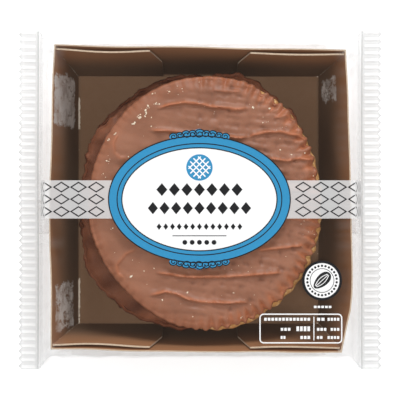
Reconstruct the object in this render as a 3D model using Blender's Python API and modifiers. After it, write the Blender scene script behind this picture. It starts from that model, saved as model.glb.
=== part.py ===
"""A clear flow-wrapped pack of chocolate-covered stroopwafels.

A folded card tray with flaring walls holds a stack of stroopwafels, each one a waffle biscuit under
a coating of milk chocolate. A clear film sleeve goes round the tray and is pressed flat at both ends
into a crimped fin with a saw-tooth edge. Metres, +Z up, origin under the middle of the base.
"""

import bmesh
import bpy
from math import atan2, cos, hypot, pi, sin, tau

MM = 0.001
CLEARANCE = 0.3 * MM        # kept between pieces that touch

# Film sleeve
FILM = 0.3 * MM
BASE_END_X = 47.4 * MM      # where the film leaves the base and rises to the fin
TOP_END_X = 55.3 * MM       # where the film leaves the top and drops to the fin
PRESS_X = 59.6 * MM         # inner edge of the pressed fin
FIN_END_X = 66.8 * MM
FIN_Z = 26.0 * MM           # height of the fin's middle plane
FIN_HALF_THICK = 0.45 * MM
FIN_HALF_Y = 62.0 * MM
SLACK = 1.2 * MM            # room between the tray's edges and the outside of the film
FOLD_TURN = 0.1 * MM        # corner of the film's fold along the sides of a fin
BULGE_Y = 57.2 * MM         # widest reach of the loose film at the sides
BULGE_Z = 34.0 * MM
GUSSET = 5.0 * MM           # how far the side tucks in on its way to the fin
TOOTH_PITCH = 2.7 * MM
TOOTH_DEPTH = 1.3 * MM
FIN_WAVE = 0.8 * MM         # rise and fall of the fin along its width

# Card tray
BOARD = 0.6 * MM
TRAY_Z = FILM + CLEARANCE
TRAY_HEIGHT = 41.6 * MM
FLOOR_X, FLOOR_Y = 93.0 * MM, 97.0 * MM
RIM_X, RIM_Y = 106.5 * MM, 109.0 * MM
RIM_BOW = 1.1 * MM          # outward bow of the end walls at the middle of the rim
FLAP_RIM_END = 17.8 * MM    # half the space between two glue flaps, at the rim
FLAP_LOW_END = 13.8 * MM    # the same below the cut corner of each flap
FLAP_CUT = 18.0 * MM        # depth of that cut corner
FLAP_DROP = 0.7 * MM        # flap's top edge below the rim
FLAP_FOOT = 1.5 * MM        # flap's lower edge above the floor

# Stroopwafels, from the lowest up
WAFER_THICK = 7.6 * MM
COATING_TOP = 1.2 * MM
COATING_SIDE = 0.9 * MM
EDGE_REACH = 0.9 * MM       # how far the bare biscuit edge stands out past the chocolate
WAFERS = [
    # centre x, centre y, half width, half length, turn, bare side's direction, bare side's half angle
    (-0.9 * MM, 0.4 * MM, 42.2 * MM, 45.6 * MM, 0.05, -1.2, 0.5),
    (0.6 * MM, -0.8 * MM, 42.6 * MM, 45.4 * MM, -0.12, 0.4, 0.6),
    (-1.6 * MM, 0.3 * MM, 41.8 * MM, 45.9 * MM, 0.10, 2.6, 0.4),
    (-1.2 * MM, -0.6 * MM, 41.9 * MM, 45.2 * MM, -0.06, -0.6, 0.6),
    (2.2 * MM, -0.9 * MM, 42.3 * MM, 46.0 * MM, 0.03, -0.55, 0.95),
]
PLAIN_SEGMENTS = 36
TOP_SEGMENTS = 80


def clear_scene():
    for old in list(bpy.data.objects):
        bpy.data.objects.remove(old, do_unlink=True)
    for old in list(bpy.data.collections):
        bpy.data.collections.remove(old)


def new_collection(name):
    collection = bpy.data.collections.new(name)
    bpy.context.scene.collection.children.link(collection)
    return collection


def new_material(name, colour, roughness, alpha=1.0):
    material = bpy.data.materials.new(name)
    material.use_nodes = True
    shader = material.node_tree.nodes["Principled BSDF"]
    shader.inputs["Base Color"].default_value = (*colour, 1.0)
    shader.inputs["Roughness"].default_value = roughness
    shader.inputs["Metallic"].default_value = 0.0
    shader.inputs["Alpha"].default_value = alpha
    return material


def add_object(name, bm, collection, material=None):
    """Turn a bmesh into a named object with its faces pointing outwards."""
    bmesh.ops.recalc_face_normals(bm, faces=bm.faces)
    mesh = bpy.data.meshes.new(name)
    bm.to_mesh(mesh)
    bm.free()
    if material:
        mesh.materials.append(material)
    obj = bpy.data.objects.new(name, mesh)
    collection.objects.link(obj)
    return obj


def add_boolean(obj, other, operation):
    cut = obj.modifiers.new(operation.lower() + "_" + other.name, "BOOLEAN")
    cut.operation = operation
    cut.object = other
    cut.solver = "EXACT"
    other.hide_render = True
    other.display_type = "WIRE"


def blend(a, b, share):
    return a + (b - a) * share


def ramp(value, start, end):
    """Straight rise from 0 at start to 1 at end."""
    return min(1.0, max(0.0, (value - start) / (end - start)))


def smooth(share):
    return share * share * (3.0 - 2.0 * share)


def skin_between_rings(bm, rings):
    """Join each ring of vertices to the next with quads."""
    count = len(rings[0])
    for ring, following in zip(rings, rings[1:]):
        for i in range(count):
            j = (i + 1) % count
            bm.faces.new((ring[i], ring[j], following[j], following[i]))


def fan(bm, ring, centre):
    """Close a ring with triangles to a point."""
    tip = bm.verts.new(centre)
    for i, vert in enumerate(ring):
        bm.faces.new((vert, ring[(i + 1) % len(ring)], tip))


# --- Card tray -------------------------------------------------------------------------------


def tray_half_size(axis, height):
    """Half the outer size of the tray at a height above its own base."""
    low, high = (FLOOR_X, RIM_X) if axis == "x" else (FLOOR_Y, RIM_Y)
    return 0.5 * blend(low, high, height / TRAY_HEIGHT)


def tray_shell(collection, material):
    """Open flaring box: a cube with its top taken off, widened at the rim and given thickness."""
    bm = bmesh.new()
    bmesh.ops.create_cube(bm, size=1.0)
    top = max(bm.faces, key=lambda face: face.calc_center_median().z)
    bmesh.ops.delete(bm, geom=[top], context="FACES_ONLY")
    along_y = [e for e in bm.edges if abs(e.verts[0].co.y - e.verts[1].co.y) > 0.5]
    bmesh.ops.subdivide_edges(bm, edges=along_y, cuts=7, use_grid_fill=True)
    for vert in bm.verts:
        height = TRAY_HEIGHT * (vert.co.z + 0.5)
        share = height / TRAY_HEIGHT
        along = 2.0 * vert.co.y
        bow = RIM_BOW * share * (1.0 - along * along)
        x = 2.0 * vert.co.x * (tray_half_size("x", height) + bow)
        y = along * tray_half_size("y", height)
        vert.co = (x, y, TRAY_Z + height)
    tray = add_object("tray", bm, collection, material)
    board = tray.modifiers.new("board", "SOLIDIFY")
    board.thickness = BOARD
    board.offset = -1.0
    board.use_even_offset = True
    return tray


def glue_flap(side_x, side_y, collection):
    """Flap folded in from an end wall, standing just off the inner face of a side wall."""
    reach = BOARD + CLEARANCE
    top = TRAY_HEIGHT - FLAP_DROP
    foot = BOARD + FLAP_FOOT
    cut = TRAY_HEIGHT - FLAP_CUT
    inside_wall = 0.5 * BOARD

    def wall_end(height):
        return tray_half_size("x", height) - inside_wall

    outline = [
        (wall_end(foot), foot),
        (FLAP_LOW_END, foot),
        (FLAP_LOW_END, cut),
        (FLAP_RIM_END, top),
        (wall_end(top), top),
    ]
    bm = bmesh.new()
    faces = []
    for depth in (reach, reach + BOARD):
        ring = []
        for x, height in outline:
            y = tray_half_size("y", height) - depth
            ring.append(bm.verts.new((side_x * x, side_y * y, TRAY_Z + height)))
        faces.append(ring)
    skin_between_rings(bm, faces)
    for ring in faces:
        bm.faces.new(ring)
    end = "left" if side_x < 0 else "right"
    side = "front" if side_y < 0 else "back"
    return add_object(f"flap_{side}_{end}", bm, collection)


# --- Stroopwafels ----------------------------------------------------------------------------


def angle_between(a, b):
    return abs(atan2(sin(a - b), cos(a - b)))


class Wafer:
    """One stroopwafel: an uneven oval disc, bare biscuit showing along one side of its edge."""

    def __init__(self, number, row):
        self.number = number
        self.x, self.y, self.half_x, self.half_y, self.turn, self.bare_at, self.bare_half = row
        self.base = TRAY_Z + BOARD + CLEARANCE + (number - 1) * (WAFER_THICK + CLEARANCE)
        self.biscuit_top = self.base + WAFER_THICK - COATING_TOP - CLEARANCE
        self.is_top = number == len(WAFERS)
        self.segments = TOP_SEGMENTS if self.is_top else PLAIN_SEGMENTS
        self.fade = 6.0 * tau / self.segments

    def radius(self, angle):
        """Oval with a slow unevenness, and small scallops where the bare edge shows."""
        a = angle - self.turn
        oval = 1.0 / hypot(cos(a) / self.half_x, sin(a) / self.half_y)
        uneven = 0.5 * MM * sin(3 * a + self.number) + 0.3 * MM * sin(5 * a + 2.0 * self.number)
        scallop = 0.35 * MM * self.bare(angle) * cos(26 * angle)
        return oval + uneven + scallop

    def bare(self, angle):
        """1 where the biscuit edge is bare, 0 where chocolate wraps it."""
        away = angle_between(angle, self.bare_at)
        return smooth(ramp(away, self.bare_half + self.fade, self.bare_half))

    def relief(self, x, y, radius_share):
        """Ripples across the top of the coating and flutes near its rim."""
        if not self.is_top:
            return 0.0
        ripple = max(0.0, cos(tau * (y + 0.05 * x) / (19.0 * MM))) ** 6
        flute = cos(26 * atan2(y, x)) * smooth(ramp(radius_share, 0.75, 0.95))
        return 0.35 * MM * ripple * (1.0 - radius_share ** 4) + 0.2 * MM * flute

    def ring(self, bm, inset, height):
        """Ring of vertices a distance in from the outline, at a height that may vary round it."""
        verts = []
        for i in range(self.segments):
            angle = tau * i / self.segments
            r = self.radius(angle) - (inset(angle) if callable(inset) else inset)
            z = height(angle) if callable(height) else height
            verts.append(bm.verts.new((self.x + r * cos(angle), self.y + r * sin(angle), z)))
        return verts

    def scaled_ring(self, bm, share, height):
        verts = []
        for i in range(self.segments):
            angle = tau * i / self.segments
            r = share * (self.radius(angle) - 2.2 * MM)
            x, y = r * cos(angle), r * sin(angle)
            z = height + self.relief(x, y, share)
            verts.append(bm.verts.new((self.x + x, self.y + y, z)))
        return verts

    def coating(self, collection, material):
        """Cap of chocolate: a top layer, and a skirt down the side where the edge isn't bare."""
        ceiling = self.biscuit_top + CLEARANCE
        top = self.base + WAFER_THICK
        full_drop = ceiling - self.base - 0.5 * MM

        def skirt_foot(angle):
            return ceiling - full_drop * (1.0 - ramp(self.bare(angle), 0.0, 0.35))

        def side_middle(angle):
            return blend(skirt_foot(angle), top, 0.5)

        shares = (1.0, 0.8, 0.6, 0.4, 0.2) if self.is_top else (1.0, 0.5)
        bm = bmesh.new()
        rings = [
            self.ring(bm, COATING_SIDE + 0.2 * MM, ceiling),
            self.ring(bm, COATING_SIDE, skirt_foot),
            self.ring(bm, 0.15 * MM, skirt_foot),
            self.ring(bm, 0.0, side_middle),
            self.ring(bm, 0.5 * MM, top - 0.35 * MM),
        ]
        rings += [self.scaled_ring(bm, share, top) for share in shares]
        skin_between_rings(bm, rings)
        fan(bm, rings[0], (self.x, self.y, ceiling))
        fan(bm, rings[-1], (self.x, self.y, top))
        return add_object(f"chocolate_{self.number}", bm, collection, material)

    def biscuit(self, collection, material):
        """Waffle disc inside the coating; its edge comes out where the side is bare."""
        tucked = COATING_SIDE + CLEARANCE

        def inset(angle):
            return blend(tucked, -EDGE_REACH, ramp(self.bare(angle), 0.65, 1.0))

        def bevelled(angle):
            return inset(angle) + 0.6 * MM

        bm = bmesh.new()
        rings = [
            self.ring(bm, bevelled, self.base),
            self.ring(bm, inset, self.base + 0.8 * MM),
            self.ring(bm, inset, self.biscuit_top - 0.8 * MM),
            self.ring(bm, bevelled, self.biscuit_top),
        ]
        skin_between_rings(bm, rings)
        fan(bm, rings[0], (self.x, self.y, self.base))
        fan(bm, rings[-1], (self.x, self.y, self.biscuit_top))
        return add_object(f"biscuit_{self.number}", bm, collection, material)


# --- Film sleeve -----------------------------------------------------------------------------


def sleeve_profile(x, inset):
    """Half outline of one face of the film at x, from the middle of the base to the middle of the top.

    The inset is 0 on the outer face and the film's thickness on the inner face.
    """
    rise = ramp(abs(x) + inset, BASE_END_X, PRESS_X)
    drop = smooth(ramp(abs(x) + inset, TOP_END_X, PRESS_X))
    low_z = blend(0.0, FIN_Z - FIN_HALF_THICK, rise) + inset
    high_z = blend(TRAY_Z + TRAY_HEIGHT + SLACK, FIN_Z + FIN_HALF_THICK, drop) - inset

    low_flare = ramp(abs(x) - inset, BASE_END_X, PRESS_X)
    high_flare = smooth(ramp(abs(x) - inset, TOP_END_X, PRESS_X))
    low_y = blend(0.5 * FLOOR_Y + SLACK, FIN_HALF_Y, low_flare) - inset
    high_y = blend(0.5 * RIM_Y + SLACK, FIN_HALF_Y, high_flare) - inset
    tuck = GUSSET * sin(pi * low_flare) * low_flare
    side_y = blend(BULGE_Y, FIN_HALF_Y, low_flare) - tuck - inset
    side_z = blend(BULGE_Z, FIN_Z, smooth(rise))
    low_turn = blend(0.6 * MM, FOLD_TURN, rise)
    high_turn = blend(SLACK, FOLD_TURN, smooth(rise))

    points = [(low_y * share, low_z) for share in (0.0, 0.2, 0.4, 0.6, 0.8)]
    points.append((low_y - low_turn, low_z))
    points.append((low_y, low_z + low_turn))
    points.append((blend(low_y, side_y, 0.62), blend(low_z + low_turn, side_z, 0.5)))
    points.append((side_y, side_z))
    points.append((high_y, high_z - high_turn))
    points.append((high_y - high_turn, high_z))
    points += [(high_y * share, high_z) for share in (0.8, 0.6, 0.4, 0.2, 0.0)]
    return points


def fin_ripple(x, y):
    """Gentle rise and fall of the pressed fin along its width."""
    share = smooth(ramp(abs(x), TOP_END_X, PRESS_X))
    phase = 0.6 if x < 0 else 2.2
    return share * FIN_WAVE * sin(tau * y / (78.0 * MM) + phase)


def film_face(bm, inset):
    """Rings of one face of the film, from the left fin's edge to the right fin's edge."""
    folds = (24.0 * MM, BASE_END_X, 50.0 * MM, 52.6 * MM, TOP_END_X, 56.6 * MM, 58.2 * MM, PRESS_X)
    half = [x - inset for x in folds] + [FIN_END_X]
    rings = []
    for x in [-x for x in reversed(half)] + half:
        profile = sleeve_profile(x, inset)
        outline = profile + [(-y, z) for y, z in profile[-2:0:-1]]
        rings.append([bm.verts.new((x, y, z + fin_ripple(x, y))) for y, z in outline])
    return rings


def film_sleeve(collection, material):
    """Film tube from fin to fin, its two faces joined round the slit in each pressed end."""
    bm = bmesh.new()
    outer = film_face(bm, 0.0)
    inner = film_face(bm, FILM)
    skin_between_rings(bm, outer + inner[::-1] + outer[:1])
    return add_object("film_wrap", bm, collection, material)


def tooth_cutter(side, collection):
    """Saw-tooth prism that trims a fin's outer edge."""
    count = 2 * int(FIN_HALF_Y / TOOTH_PITCH) + 4
    tip = FIN_END_X - 0.2 * MM
    outline = [(FIN_END_X + 3.0 * MM, -0.5 * count * TOOTH_PITCH)]
    for i in range(2 * count + 1):
        depth = TOOTH_DEPTH if i % 2 else 0.0
        outline.append((tip - depth, 0.5 * TOOTH_PITCH * (i - count)))
    outline.append((FIN_END_X + 3.0 * MM, 0.5 * count * TOOTH_PITCH))
    bm = bmesh.new()
    rings = []
    for z in (FIN_Z - 4.0 * MM, FIN_Z + 4.0 * MM):
        rings.append([bm.verts.new((side * x, y, z)) for x, y in outline])
    skin_between_rings(bm, rings)
    for ring in rings:
        bm.faces.new(ring)
    return add_object("teeth_left" if side < 0 else "teeth_right", bm, collection)


# --- Assembly --------------------------------------------------------------------------------


def build():
    clear_scene()
    pack = new_collection("stroopwafel_pack")
    cutters = new_collection("cutters")
    card = new_material("brown_card", (0.14, 0.072, 0.038), 0.5)
    chocolate = new_material("milk_chocolate", (0.30, 0.13, 0.075), 0.4)
    waffle = new_material("golden_waffle", (0.55, 0.30, 0.10), 0.7)
    film = new_material("clear_film", (0.9, 0.92, 0.93), 0.12, alpha=0.25)

    tray = tray_shell(pack, card)
    for side_x in (-1, 1):
        for side_y in (-1, 1):
            add_boolean(tray, glue_flap(side_x, side_y, cutters), "UNION")

    for number, row in enumerate(WAFERS, start=1):
        wafer = Wafer(number, row)
        wafer.biscuit(pack, waffle)
        wafer.coating(pack, chocolate)

    sleeve = film_sleeve(pack, film)
    for side in (-1, 1):
        add_boolean(sleeve, tooth_cutter(side, cutters), "DIFFERENCE")


build()
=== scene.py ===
"""A clear pack of chocolate stroopwafels in a card tray, with its looks built round the CAD frame."""

from math import atan2, cos, hypot, pi, radians, sin, tau
from random import Random

import bpy
import numpy as np
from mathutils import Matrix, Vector


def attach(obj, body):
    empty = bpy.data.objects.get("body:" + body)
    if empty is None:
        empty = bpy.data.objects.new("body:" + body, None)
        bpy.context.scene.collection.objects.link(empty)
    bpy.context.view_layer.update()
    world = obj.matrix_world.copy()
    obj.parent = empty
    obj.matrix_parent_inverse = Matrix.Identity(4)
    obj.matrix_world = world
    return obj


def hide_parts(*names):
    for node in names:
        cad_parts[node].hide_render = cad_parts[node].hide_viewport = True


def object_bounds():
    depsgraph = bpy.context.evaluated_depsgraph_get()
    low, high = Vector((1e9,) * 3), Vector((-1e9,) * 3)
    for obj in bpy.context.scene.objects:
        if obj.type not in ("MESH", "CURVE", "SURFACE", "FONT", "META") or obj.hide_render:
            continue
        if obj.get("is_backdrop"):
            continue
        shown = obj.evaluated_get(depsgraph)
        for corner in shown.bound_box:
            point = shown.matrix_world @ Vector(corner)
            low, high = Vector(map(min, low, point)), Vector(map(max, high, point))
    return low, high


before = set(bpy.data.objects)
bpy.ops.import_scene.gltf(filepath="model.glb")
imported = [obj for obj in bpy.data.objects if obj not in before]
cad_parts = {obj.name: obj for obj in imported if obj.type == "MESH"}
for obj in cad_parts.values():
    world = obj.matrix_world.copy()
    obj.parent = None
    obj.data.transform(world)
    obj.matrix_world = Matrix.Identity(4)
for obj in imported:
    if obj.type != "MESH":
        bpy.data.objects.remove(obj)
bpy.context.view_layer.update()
MM = 0.001

# --- Table top, lamps and camera -------------------------------------------------------------
# The pack lies on a white light table. A small lamp hangs over the middle and four soft boxes stand
# round it, the strongest low at the back. The camera looks straight down from 600 mm above the rim.

CAMERA_HEIGHT = 642 * MM
LENS, SENSOR = 151.2, 36.0
# place, size (m) and power (W) of each lamp
LAMPS = {
    "lamp_over": ((0.0, 0.0, 1.3), 0.12, 6.3),
    "lamp_back": ((0.1, 0.90, 0.62), 0.4, 6.4),
    "lamp_front": ((-0.1, -0.62, 1.0), 0.5, 0.6),
    "lamp_left": ((-0.62, 0.1, 1.0), 0.5, 1.3),
    "lamp_right": ((0.62, -0.1, 1.0), 0.5, 0.8),
}
SKY = 0.27
TABLE_GLOW = 0.3


class Wire:
    """One socket of a material's nodes. Sums on wires add Math nodes."""

    def __init__(self, tree, socket=None):
        self.tree, self.socket = tree, socket

    def node(self, kind, settings=None, sockets=None, out=0):
        made = self.tree.nodes.new(kind)
        for name, value in (settings or {}).items():
            setattr(made, name, value)
        for name, value in (sockets or {}).items():
            if isinstance(value, Wire):
                self.tree.links.new(value.socket, made.inputs[name])
            else:
                made.inputs[name].default_value = value
        return Wire(self.tree, made.outputs[out] if len(made.outputs) else None)

    def maths(self, operation, *values):
        return self.node("ShaderNodeMath", {"operation": operation}, dict(enumerate(values)))

    def __add__(self, other):
        return self.maths("ADD", self, other)

    def __sub__(self, other):
        return self.maths("SUBTRACT", self, other)

    def __rsub__(self, other):
        return self.maths("SUBTRACT", other, self)

    def __mul__(self, other):
        return self.maths("MULTIPLY", self, other)

    __radd__, __rmul__ = __add__, __mul__

    def between(self, low, high):
        """Smooth rise from 0 at low to 1 at high."""
        return self.node(
            "ShaderNodeMapRange",
            {"interpolation_type": "SMOOTHSTEP"},
            {"Value": self, "From Min": low, "From Max": high},
        )

    def tint(self, first, second):
        """Colour between two, with this wire as the share of the second."""
        return self.node("ShaderNodeMix", {"data_type": "RGBA"}, {0: self, 6: first, 7: second}, 2)

    def cloud(self, scale, detail=3.0, roughness=0.55, stretch=(1.0, 1.0, 1.0)):
        """Noise from 0 to 1, fixed in the pack's own space; scale is in waves per metre."""
        place = self.node("ShaderNodeTexCoord", out="Object")
        place = self.node("ShaderNodeMapping", {}, {"Vector": place, "Scale": stretch})
        sockets = {"Vector": place, "Scale": scale, "Detail": detail, "Roughness": roughness}
        return self.node("ShaderNodeTexNoise", {}, sockets)

    def painted(self, name):
        """Value painted on the mesh's points."""
        return self.node("ShaderNodeAttribute", {"attribute_name": name}, out="Fac")

    def bump(self, height, depth, strength=1.0):
        return self.node(
            "ShaderNodeBump", {}, {"Strength": strength, "Distance": depth, "Height": height}
        )

    def surface(self, sockets):
        shader = self.node("ShaderNodeBsdfPrincipled", {}, sockets)
        self.node("ShaderNodeOutputMaterial", {}, {"Surface": shader})


def tone(red, green, blue):
    return (red, green, blue, 1.0)


def new_material(name):
    material = bpy.data.materials.new(name)
    material.use_nodes = True
    material.node_tree.nodes.clear()
    return material, Wire(material.node_tree)


for name, (place, size, watts) in LAMPS.items():
    lamp = bpy.data.lights.new(name, "AREA")
    lamp.size, lamp.energy = size, watts
    holder = bpy.data.objects.new(name, lamp)
    holder.location = place
    holder.visible_glossy = name != "lamp_over"
    holder.rotation_euler = (-Vector(place)).to_track_quat("-Z", "Y").to_euler()
    bpy.context.scene.collection.objects.link(holder)

sky = bpy.data.worlds.new("sky")
sky.use_nodes = True
sky.node_tree.nodes.clear()
wire = Wire(sky.node_tree)
glow = wire.node("ShaderNodeBackground", {}, {"Color": tone(1.0, 1.0, 1.0), "Strength": SKY})
wire.node("ShaderNodeOutputWorld", {}, {"Surface": glow})
bpy.context.scene.world = sky
bpy.context.scene.view_settings.view_transform = "Standard"

camera = bpy.data.objects.new("camera", bpy.data.cameras.new("camera"))
camera.location = (0.0, 0.0, CAMERA_HEIGHT)
camera.data.lens, camera.data.sensor_width = LENS, SENSOR
bpy.context.scene.collection.objects.link(camera)
bpy.context.scene.camera = camera

table_finish, wire = new_material("white_table")
grain = wire.cloud(60.0)
wire.surface({
    "Base Color": grain.tint(tone(0.93, 0.93, 0.93), tone(0.96, 0.96, 0.96)),
    "Roughness": 0.9,
    "Specular IOR Level": 0.1,
    "Emission Color": tone(1.0, 1.0, 1.0),
    "Emission Strength": TABLE_GLOW,
})
table_mesh = bpy.data.meshes.new("table_top")
table_mesh.from_pydata([(-4, -4, 0), (4, -4, 0), (4, 4, 0), (-4, 4, 0)], [], [(0, 1, 2, 3)])
table_mesh.materials.append(table_finish)
table_top = bpy.data.objects.new("table_top", table_mesh)
bpy.context.scene.collection.objects.link(table_top)
table_top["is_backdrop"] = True

# --- Card tray -------------------------------------------------------------------------------
# Open tray folded from one sheet of brown coated board, its walls flaring to the rim. The end walls
# carry flaps that are folded in and glued inside the side walls; cut edges show the pale core.

BOARD = 0.6 * MM
TRAY_Z, TRAY_HEIGHT = 0.6 * MM, 41.6 * MM
FLOOR_HALF = (46.2, 48.3)
FLOOR_SHIFT = -0.6
# reach of the rim along each wall, as (share along the wall, mm)
RIM_LEFT = [(-1.0, 53.1), (-0.35, 53.8), (0.1, 53.7), (0.45, 53.1), (0.8, 52.6), (1.0, 52.0)]
RIM_RIGHT = [(-1.0, 50.4), (-0.72, 54.2), (-0.62, 54.6), (-0.2, 54.3), (0.45, 53.5), (1.0, 52.1)]
RIM_FRONT = [(-1.0, 53.2), (-0.7, 53.8), (0.0, 54.4), (0.6, 54.5), (1.0, 54.5)]
RIM_BACK = [(-1.0, 55.4), (-0.4, 55.0), (0.0, 54.6), (0.5, 54.1), (1.0, 53.7)]
FOLD = 0.35 * MM
FLAP_RIM_END, FLAP_LOW_END, FLAP_CUT = 18.0, 13.9, 18.0
FLAP_DROP, FLAP_FOOT = 0.7, 1.5


def smooth(share):
    return share * share * (3.0 - 2.0 * share)


def ramp(value, start, end):
    return np.clip((value - start) / (end - start), 0.0, 1.0)


def table_value(rows, at):
    return np.interp(at, [row[0] for row in rows], [row[1] for row in rows])


def uneven(x, y, length, seed):
    """Smooth random rise and fall, about -1 to 1, in waves about this length."""
    rng = Random(seed)
    total = np.zeros_like(x + y)
    for _ in range(9):
        turn, phase = rng.uniform(0.0, tau), rng.uniform(0.0, tau)
        wave = tau / (length * rng.uniform(0.6, 1.6))
        total = total + np.sin(wave * (x * cos(turn) + y * sin(turn)) + phase)
    return total / 4.0


def add_piece(name, points, faces, materials, nodes, groups=None, painted=None):
    """Mesh piece on the pack's one body, standing for the CAD nodes that are named."""
    mesh = bpy.data.meshes.new(name)
    mesh.from_pydata([tuple(p) for p in points], [], faces)
    for material in materials:
        mesh.materials.append(material)
    if groups is not None:
        mesh.polygons.foreach_set("material_index", groups)
    for key, values in (painted or {}).items():
        layer = mesh.attributes.new(key, "FLOAT", "POINT")
        layer.data.foreach_set("value", np.asarray(values, dtype=np.float32))
    mesh.polygons.foreach_set("use_smooth", [True] * len(mesh.polygons))
    mesh.validate()
    mesh.update()
    mesh.set_sharp_from_angle(angle=radians(50))
    piece = bpy.data.objects.new(name, mesh)
    bpy.context.scene.collection.objects.link(piece)
    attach(piece, "root")
    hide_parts(*nodes)
    return piece


def grid_faces(rows, count, looped, start=0):
    """Quads between rows of points, each row with the same count."""
    faces = []
    for r in range(rows - 1):
        for i in range(count if looped else count - 1):
            j = (i + 1) % count
            a, b = start + r * count, start + (r + 1) * count
            faces.append((a + i, a + j, b + j, b + i))
    return faces


def wall_reach(side, along, height):
    """How far a wall's outer face stands from the middle, in mm, at a share of the height."""
    rims = {"left": RIM_LEFT, "right": RIM_RIGHT, "front": RIM_FRONT, "back": RIM_BACK}
    foot = FLOOR_HALF[0] if side in ("left", "right") else FLOOR_HALF[1]
    foot = foot + {"left": -FLOOR_SHIFT, "right": FLOOR_SHIFT}.get(side, 0.0)
    sway = 0.22 * uneven(70.0 * along, 40.0 * height, 38.0, len(side)) * height
    return foot + (table_value(rims[side], along) - foot) * height + sway


def tray_ring(height, depth, per_side=72):
    """Points round the wall at a share of the height, this many mm in from the outer face."""
    t = np.linspace(-1.0, 1.0, per_side, endpoint=False)
    left = -wall_reach("left", t, height) + depth
    right = wall_reach("right", t, height) - depth
    front = -wall_reach("front", t, height) + depth
    back = wall_reach("back", t, height) - depth
    corner = {}
    for x_side, x_sign in (("left", -1.0), ("right", 1.0)):
        for y_side, y_sign in (("front", -1.0), ("back", 1.0)):
            x = x_sign * (wall_reach(x_side, np.array([y_sign]), height)[0] - depth)
            y = y_sign * (wall_reach(y_side, np.array([x_sign]), height)[0] - depth)
            corner[x_side, y_side] = np.array([x, y])

    def run(start, end, sideways, values, forward):
        """Straight run between two corners, pushed sideways to the wall's own reach."""
        share = np.linspace(0.0, 1.0, per_side, endpoint=False)[:, None]
        points = start * (1.0 - share) + end * share
        along = 2.0 * share[:, 0] - 1.0 if forward else 1.0 - 2.0 * share[:, 0]
        points[:, sideways] = np.interp(along, t, values)
        points[0] = start
        return points

    lf, rf = corner["left", "front"], corner["right", "front"]
    lb, rb = corner["left", "back"], corner["right", "back"]
    rows = [run(lf, rf, 1, front, True), run(rf, rb, 0, right, True)]
    rows += [run(rb, lb, 1, back, False), run(lb, lf, 0, left, False)]
    return np.concatenate(rows)


card_finish, wire = new_material("brown_board")
fibre = wire.cloud(420.0, 4.0, 0.7)
mottle = wire.cloud(38.0, 3.0)
# pale wear on the cut rim and corner folds, together with painted highlights as glints along the floor
# creases
wear_and_glint = wire.painted("wear_and_glint")
# painted reflection: a ragged pale patch on the inner walls, with lower roughness
painted_reflection = wire.painted("painted_reflection")
# painted light: the inner walls are lighter and warmer towards the rim
lit = wire.painted("lit")
dabs = wire.cloud(330.0, 6.0, 0.8, (1.0, 1.0, 0.4)) - 0.5
reflection_mask = (painted_reflection + dabs * 2.4).between(0.55, 0.95) * painted_reflection.between(0.02, 0.2)
reflection_mask = reflection_mask * (0.55 + 0.45 * wire.cloud(160.0, 3.0).between(0.35, 0.6))
# pale specks where the board is worn and where glints are painted
specks = (wear_and_glint * 1.0 + (wire.cloud(900.0, 3.0) - 0.5) * 1.3).between(0.62, 0.8)
shade = mottle.tint(tone(0.158, 0.088, 0.047), tone(0.212, 0.120, 0.066))
shade = (fibre * 0.55).tint(shade, tone(0.25, 0.16, 0.10))
shade = (lit * 0.9).tint(shade, tone(0.44, 0.205, 0.092))
shade = (reflection_mask * 0.95).tint(shade, tone(0.97, 0.93, 0.89))
shade = specks.tint(shade, tone(0.72, 0.62, 0.5))
wire.surface({
    "Base Color": shade,
    "Roughness": 0.64 - 0.3 * reflection_mask + 0.1 * mottle,
    "Specular IOR Level": 0.45,
    "Normal": wire.bump(fibre, 0.06 * MM, 0.5),
})

core_finish, wire = new_material("cut_board_edge")
fibre = wire.cloud(1500.0, 3.0)
wire.surface({
    "Base Color": fibre.tint(tone(0.40, 0.27, 0.17), tone(0.74, 0.62, 0.48)),
    "Roughness": 0.85,
    "Normal": wire.bump(fibre, 0.05 * MM, 0.6),
})

board_mm = BOARD / MM
fold_mm = FOLD / MM
top_mm = TRAY_HEIGHT / MM
levels = [fold_mm] + list(np.linspace(2.2, top_mm, 22))
tray_rows, wear_and_glint_rows, painted_reflection_rows, lit_rows = [], [], [], []


def put_row(ring, z_mm, wear_and_glint=0.0, inside=False, height=0.0):
    count = len(ring)
    tray_rows.append(np.column_stack((ring * MM, np.full(count, TRAY_Z + z_mm * MM))))
    wear_and_glint_row = np.full(count, wear_and_glint)
    side = count // 4
    # pale corner folds: wear, together with a painted highlight that marks the corner edge
    if inside:
        near = np.minimum(np.arange(count) % side, side - np.arange(count) % side)
        wear_and_glint_row = np.maximum(wear_and_glint_row, np.where(near < 1, 0.84, 0.0))
    x, y = ring[:, 0], ring[:, 1]
    # painted highlights: glints along the floor crease at the left wall and the front-left corner
    if wear_and_glint > 0.2:
        for low, high in ((26.8, 38.5), (-46.8, -30.0)):
            wear_and_glint_row = np.where((x < -40.0) & (y > low) & (y < high), 0.95, wear_and_glint_row)
        wear_and_glint_row = np.where((y < -40.0) & (x < -40.5), 0.8, wear_and_glint_row)
    wear_and_glint_rows.append(wear_and_glint_row)
    # painted reflection: ragged pale patches on the left and right inner walls
    patch = np.zeros(count)
    if inside:
        left, right = x < -44.0, x > 44.0
        for mask, top, foot, at, reach, strength in (
            (left, 1.03, 0.1, 36.5, 10.0, 1.0), (left, 0.95, 0.14, -39.0, 9.5, 0.85),
            (right, 0.74, 0.06, 41.0, 5.5, 0.8), (right, 0.85, 0.4, -46.0, 4.0, 0.3),
        ):
            across = ramp(abs(y - at), reach + 1.5, reach - 2.0)
            upright = ramp(height, foot, foot + 0.1) * ramp(height, top, top - 0.08)
            patch = np.maximum(patch, np.where(mask, strength * across * upright, 0.0))
    painted_reflection_rows.append(patch)
    # painted light: the inner walls lighter towards the rim; the outer walls get a small even share
    lit_rows.append(np.full(count, smooth(ramp(height, 0.3, 1.0)) if inside else 0.12))


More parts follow.
